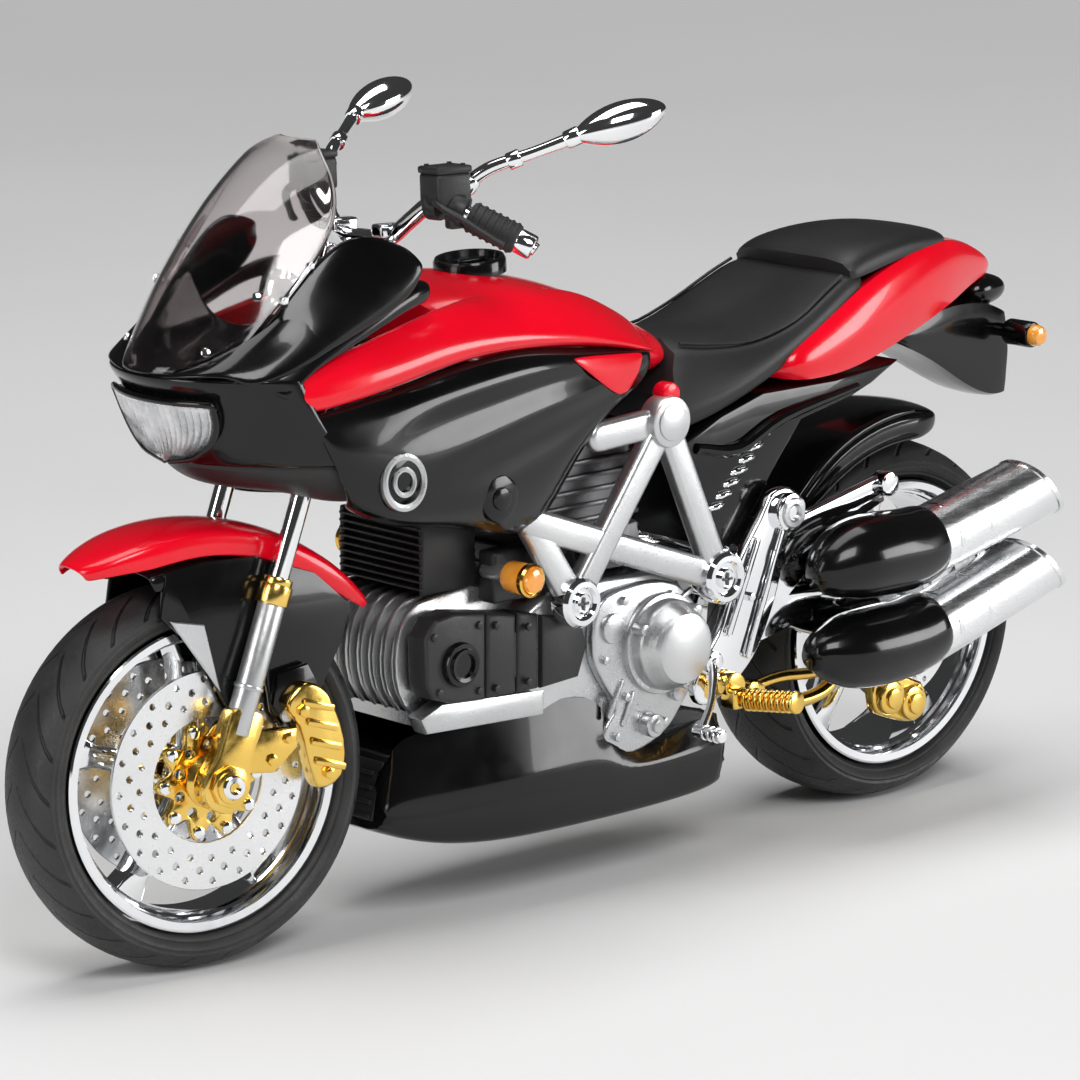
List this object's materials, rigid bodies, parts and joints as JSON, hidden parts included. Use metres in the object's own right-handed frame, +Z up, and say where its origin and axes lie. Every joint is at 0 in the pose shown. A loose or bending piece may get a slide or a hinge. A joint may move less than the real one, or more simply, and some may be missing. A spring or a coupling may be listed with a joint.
{
  "type": "scale model motorcycle",
  "caption": "Scale sports motorcycle with turning steering, sprung telescopic fork and swingarm, free-rolling wheels, twin mufflers and a folding side stand.",
  "frame": {"origin": "on the ground, under the middle of the bounding box; the bike's own centre plane lies at y = -2.2 mm, because the turned bars make the left mirror reach further than the right", "axes": "+X forward along the bike, +Y to the rider's left, +Z up"},
  "size_m": [0.1626, 0.0565, 0.1006],
  "materials": {
    "red_paint": "bright red high gloss lacquer over moulded plastic",
    "gloss_black": "polished deep black moulded plastic",
    "matt_black": "fine textured matt black plastic",
    "seat_cover": "soft matt black seat with fine leather grain",
    "grip_rubber": "matt black rubber with fine ribs",
    "tyre_rubber": "dull black rubber with cut tread",
    "chrome": "bright polished chrome plating",
    "satin_metal": "satin silver, cast and lightly blasted",
    "disc_steel": "turned bright steel",
    "gold_plate": "polished gold plating",
    "amber_lens": "clear amber plastic",
    "clear_lens": "clear ribbed lens",
    "smoke_screen": "smoke tinted clear plastic"
  },
  "bodies": {
    "chassis": {"frame_left": "satin_metal", "frame_right": "satin_metal", "steering_head": "satin_metal", "engine_block": "satin_metal", "alternator_cover": "satin_metal", "timing_cover": "matt_black", "front_cylinder": "satin_metal", "rear_cylinder": "matt_black", "oil_cooler": "matt_black", "belly_pan": "gloss_black", "fuel_tank": "red_paint", "filler_cap": "matt_black", "side_pod_left": "gloss_black", "side_pod_right": "gloss_black", "nose_fairing": "gloss_black", "headlight_lens": "clear_lens", "windscreen": "smoke_screen", "seat": "seat_cover", "tail_cowl": "red_paint", "tail_light": "gloss_black", "plate_holder": "matt_black", "inner_fender": "matt_black", "muffler_upper": "chrome", "muffler_lower": "chrome", "peg_hanger_left": "chrome", "peg_hanger_right": "chrome", "foot_peg_left": "gold_plate", "foot_peg_right": "gold_plate", "shift_lever": "chrome", "front_indicator_left": "amber_lens", "front_indicator_right": "amber_lens"},
    "stand": {"side_stand": "gold_plate"},
    "steering": {"steering_yoke": "satin_metal", "stanchion_left": "chrome", "stanchion_right": "chrome", "handlebar": "chrome", "grip_left": "grip_rubber", "grip_right": "grip_rubber", "control_left": "matt_black", "control_right": "matt_black", "mirror_left": "chrome", "mirror_right": "chrome"},
    "fork_sliders": {"slider_left": "satin_metal", "slider_right": "satin_metal", "front_fender": "red_paint", "fender_brace": "gloss_black", "front_caliper_left": "gold_plate", "front_caliper_right": "gold_plate", "front_axle": "gold_plate"},
    "front_wheel": {"front_tyre": "tyre_rubber", "front_rim": "chrome", "front_disc_left": "disc_steel", "front_disc_right": "disc_steel"},
    "swing": {"swingarm": "chrome", "rear_axle": "disc_steel", "hugger": "gloss_black", "rear_caliper": "gold_plate"},
    "rear_wheel": {"rear_tyre": "tyre_rubber", "rear_rim": "chrome", "rear_disc": "disc_steel"}
  },
  "joints": [
    {"name": "steering_turn", "type": "hinge", "parent": "chassis", "child": "steering", "pos_m": [0.0549, -0.0022, 0.0229], "axis": [-0.3584, 0, 0.9336], "range_deg": [-22, 38]},
    {"name": "fork_slide", "type": "slide", "parent": "steering", "child": "fork_sliders", "axis": [-0.3584, 0, 0.9336], "range_m": [-0.0004, 0.0025], "stiffness_N_per_m": 4000, "springref_m": -0.0003},
    {"name": "front_wheel_spin", "type": "hinge", "parent": "fork_sliders", "child": "front_wheel", "pos_m": [0.05857, -0.00268, 0.02289], "axis": [0.1299, 0.9903, 0.0499], "continuous": true},
    {"name": "swing_pivot", "type": "hinge", "parent": "chassis", "child": "swing", "pos_m": [-0.0168, -0.0022, 0.0372], "axis": [0, 1, 0], "range_deg": [-0.5, 4], "stiffness_Nm_per_rad": 8, "springref_deg": -0.34},
    {"name": "rear_wheel_spin", "type": "hinge", "parent": "swing", "child": "rear_wheel", "pos_m": [-0.0556, -0.0022, 0.02395], "axis": [0, 1, 0], "continuous": true},
    {"name": "stand_fold", "type": "hinge", "parent": "chassis", "child": "stand", "pos_m": [-0.0241, 0.0087, 0.0204], "axis": [0, 1, 0], "range_deg": [-90, 0]}
  ]
}
